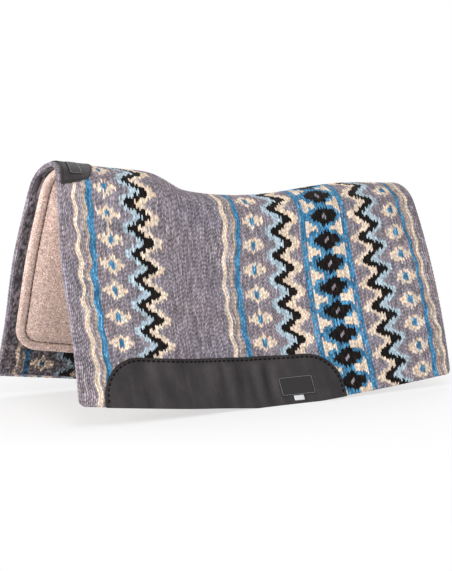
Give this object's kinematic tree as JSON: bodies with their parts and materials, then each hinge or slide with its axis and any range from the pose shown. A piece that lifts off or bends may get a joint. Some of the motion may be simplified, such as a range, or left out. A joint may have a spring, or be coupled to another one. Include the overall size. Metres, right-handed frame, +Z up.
{
  "type": "saddle pad",
  "caption": "Contoured western saddle pad: thick woven wool blanket with stripes, diamonds and zigzags over a padded felt liner, with leather wear patches and a withers patch.",
  "frame": {"origin": "centre of the pad's box on the plane that its two hems stand on", "axes": "+X along the ridge from the front (withers) to the rear (loin), +Y to the far side, +Z up"},
  "size_m": [0.9117, 0.4302, 0.4961],
  "materials": {
    "woven_wool": "matte weave",
    "wool_felt": "matte felt",
    "foam": "matte",
    "leather": "satin",
    "label": "satin",
    "tag": "matte"
  },
  "bodies": {
    "near_side": {"blanket_near": "woven_wool", "blanket_ridge": "woven_wool", "liner_near": "wool_felt", "liner_ridge": "wool_felt", "core_near": "foam", "wear_leather_near": "leather", "withers_patch": "leather", "withers_label": "label", "side_label": "label", "side_tag": "tag"},
    "far_side": {"blanket_far": "woven_wool", "liner_far": "wool_felt", "core_far": "foam", "wear_leather_far": "leather"}
  },
  "joints": [
    {"name": "spine_fold", "type": "hinge", "parent": "near_side", "child": "far_side", "pos_m": [0, 0, 0.432], "axis": [1, 0, 0], "range_deg": [-30, 45], "stiffness_Nm_per_rad": 60, "deforming": ["blanket_ridge", "liner_ridge", "withers_patch", "withers_label"]}
  ]
}
